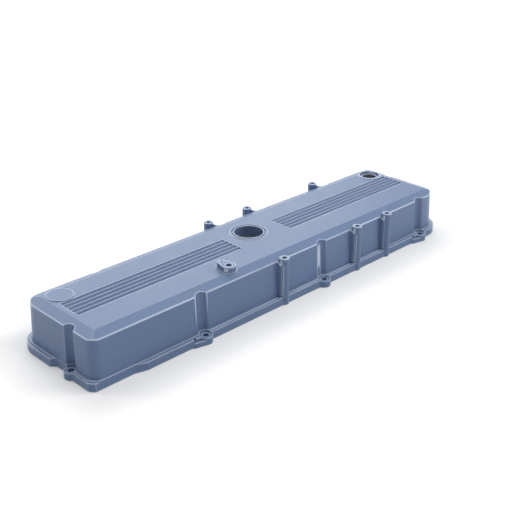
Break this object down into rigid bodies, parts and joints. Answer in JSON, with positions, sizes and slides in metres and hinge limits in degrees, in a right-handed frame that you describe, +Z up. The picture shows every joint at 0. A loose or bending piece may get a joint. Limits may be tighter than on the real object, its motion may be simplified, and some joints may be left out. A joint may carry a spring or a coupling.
{
  "type": "engine valve cover",
  "caption": "Long cast valve cover for an inline engine, with bevelled fluted deck, bolted flange, bolt tubes, oil filler and breather openings, rim gasket and oil baffle.",
  "frame": {"origin": "centre of the wall foot at the gasket face, Z = 0", "axes": "+X along the engine towards the breather end, +Y towards the back long side, +Z up through the deck"},
  "size_m": [0.6912, 0.1787, 0.0763],
  "materials": {
    "painted_casting": "slate-blue paint, satin, over a fine cast surface",
    "gasket_rubber": "matt moulded rubber",
    "baffle_sheet": "plain pressed sheet",
    "screw_steel": "plated steel"
  },
  "bodies": {
    "root": {"valve_cover": "painted_casting", "rim_gasket": "gasket_rubber", "oil_baffle": "baffle_sheet", "baffle_screws": "screw_steel"}
  },
  "joints": []
}
